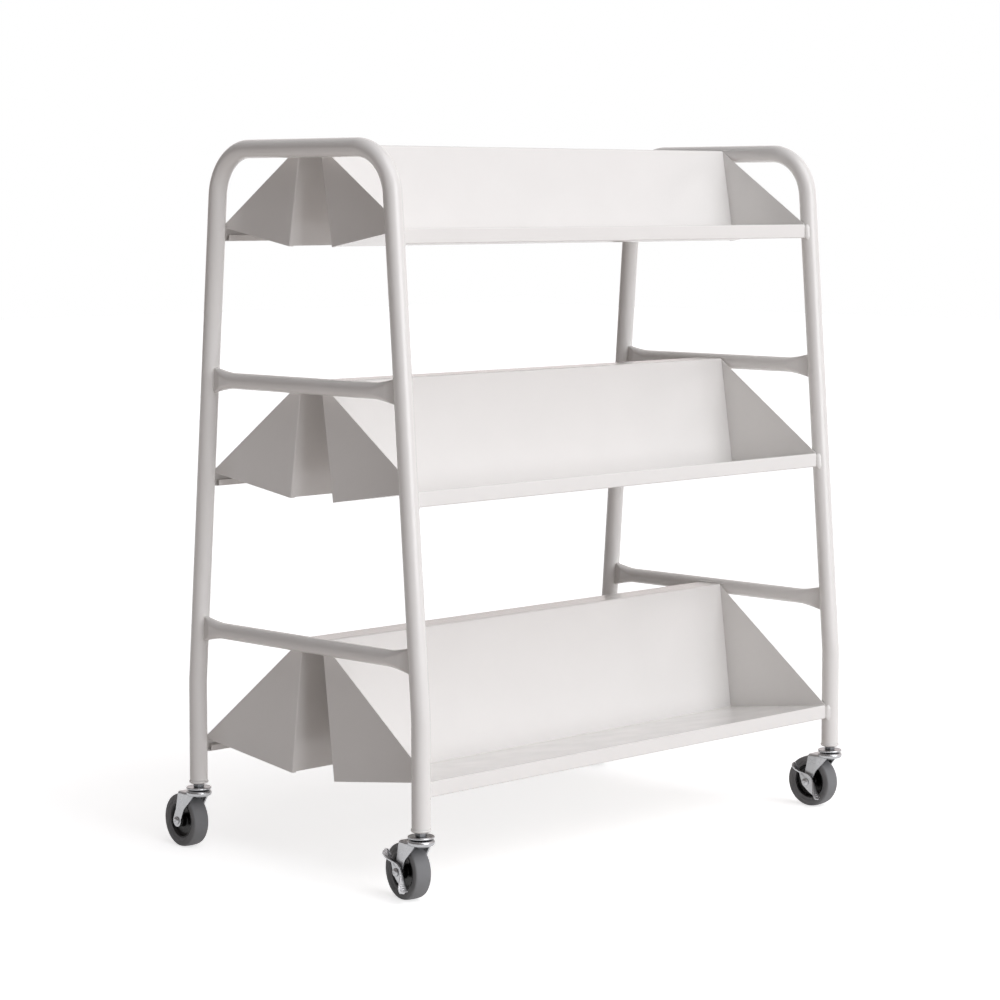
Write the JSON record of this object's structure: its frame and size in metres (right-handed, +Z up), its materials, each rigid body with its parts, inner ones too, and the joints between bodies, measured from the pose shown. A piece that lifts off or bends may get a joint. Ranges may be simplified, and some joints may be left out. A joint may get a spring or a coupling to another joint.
{
  "type": "book trolley",
  "caption": "White steel book trolley with tube end frames, tiered double-sided V-shaped shelves and swivel casters, the front ones braked, for moving and displaying books.",
  "frame": {"origin": "middle of the trolley's bounding box, on the floor", "axes": "+X along the shelves to the right end, +Y from the front, where the braked casters are, to the rear, +Z up"},
  "size_m": [0.8958, 0.5358, 0.9855],
  "materials": {
    "frame_paint": "semi-gloss white powder coat",
    "shelf_paint": "semi-gloss white powder coat",
    "insert_paint": "white powder coat",
    "zinc_plate": "bright zinc plate",
    "hub_nylon": "moulded black nylon",
    "tyre_rubber": "matt grey rubber"
  },
  "bodies": {
    "frame": {"left_hoop": "frame_paint", "left_upper_crossbar": "frame_paint", "left_lower_crossbar": "frame_paint", "right_hoop": "frame_paint", "right_upper_crossbar": "frame_paint", "right_lower_crossbar": "frame_paint", "top_front_trough": "shelf_paint", "top_rear_trough": "shelf_paint", "middle_front_trough": "shelf_paint", "middle_rear_trough": "shelf_paint", "bottom_front_trough": "shelf_paint", "bottom_rear_trough": "shelf_paint", "top_front_left_end_plate": "shelf_paint", "top_front_right_end_plate": "shelf_paint", "top_rear_left_end_plate": "shelf_paint", "top_rear_right_end_plate": "shelf_paint", "middle_front_left_end_plate": "shelf_paint", "middle_front_right_end_plate": "shelf_paint", "middle_rear_left_end_plate": "shelf_paint", "middle_rear_right_end_plate": "shelf_paint", "bottom_front_left_end_plate": "shelf_paint", "bottom_front_right_end_plate": "shelf_paint", "bottom_rear_left_end_plate": "shelf_paint", "bottom_rear_right_end_plate": "shelf_paint", "front_left_leg_insert": "insert_paint", "front_left_stem": "zinc_plate", "front_left_swivel_cap": "zinc_plate", "front_right_leg_insert": "insert_paint", "front_right_stem": "zinc_plate", "front_right_swivel_cap": "zinc_plate", "rear_left_leg_insert": "insert_paint", "rear_left_stem": "zinc_plate", "rear_left_swivel_cap": "zinc_plate", "rear_right_leg_insert": "insert_paint", "rear_right_stem": "zinc_plate", "rear_right_swivel_cap": "zinc_plate"},
    "front_left_fork": {"front_left_fork": "zinc_plate", "front_left_axle": "zinc_plate", "front_left_axle_nut": "zinc_plate"},
    "front_left_wheel": {"front_left_hub": "hub_nylon", "front_left_tyre": "tyre_rubber"},
    "front_left_brake": {"front_left_brake_pedal": "zinc_plate"},
    "front_right_fork": {"front_right_fork": "zinc_plate", "front_right_axle": "zinc_plate", "front_right_axle_nut": "zinc_plate"},
    "front_right_wheel": {"front_right_hub": "hub_nylon", "front_right_tyre": "tyre_rubber"},
    "front_right_brake": {"front_right_brake_pedal": "zinc_plate"},
    "rear_left_fork": {"rear_left_fork": "zinc_plate", "rear_left_axle": "zinc_plate", "rear_left_axle_nut": "zinc_plate"},
    "rear_left_wheel": {"rear_left_hub": "hub_nylon", "rear_left_tyre": "tyre_rubber"},
    "rear_right_fork": {"rear_right_fork": "zinc_plate", "rear_right_axle": "zinc_plate", "rear_right_axle_nut": "zinc_plate"},
    "rear_right_wheel": {"rear_right_hub": "hub_nylon", "rear_right_tyre": "tyre_rubber"}
  },
  "joints": [
    {"name": "front_left_swivel", "type": "hinge", "parent": "frame", "child": "front_left_fork", "pos_m": [-0.41544, -0.24991, 0.0375], "axis": [0, 0, 1], "continuous": true},
    {"name": "front_left_roll", "type": "hinge", "parent": "front_left_fork", "child": "front_left_wheel", "pos_m": [-0.41049, -0.22032, 0.0375], "axis": [0.9863, -0.165, 0], "continuous": true},
    {"name": "front_left_brake", "type": "hinge", "parent": "front_left_fork", "child": "front_left_brake", "pos_m": [-0.41049, -0.22032, 0.0375], "axis": [-0.9863, 0.165, 0], "range_deg": [0, 20]},
    {"name": "front_right_swivel", "type": "hinge", "parent": "frame", "child": "front_right_fork", "pos_m": [0.42456, -0.24991, 0.0375], "axis": [0, 0, 1], "continuous": true},
    {"name": "front_right_roll", "type": "hinge", "parent": "front_right_fork", "child": "front_right_wheel", "pos_m": [0.42299, -0.21995, 0.0375], "axis": [0.9986, 0.0523, 0], "continuous": true},
    {"name": "front_right_brake", "type": "hinge", "parent": "front_right_fork", "child": "front_right_brake", "pos_m": [0.42299, -0.21995, 0.0375], "axis": [-0.9986, -0.0523, 0], "range_deg": [0, 20]},
    {"name": "rear_left_swivel", "type": "hinge", "parent": "frame", "child": "rear_left_fork", "pos_m": [-0.41544, 0.20009, 0.0375], "axis": [0, 0, 1], "continuous": true},
    {"name": "rear_left_roll", "type": "hinge", "parent": "rear_left_fork", "child": "rear_left_wheel", "pos_m": [-0.41335, 0.23002, 0.0375], "axis": [0.9976, -0.0698, 0], "continuous": true},
    {"name": "rear_right_swivel", "type": "hinge", "parent": "frame", "child": "rear_right_fork", "pos_m": [0.42456, 0.20009, 0.0375], "axis": [0, 0, 1], "continuous": true},
    {"name": "rear_right_roll", "type": "hinge", "parent": "rear_right_fork", "child": "rear_right_wheel", "pos_m": [0.42456, 0.23009, 0.0375], "axis": [1, 0, 0], "continuous": true}
  ]
}
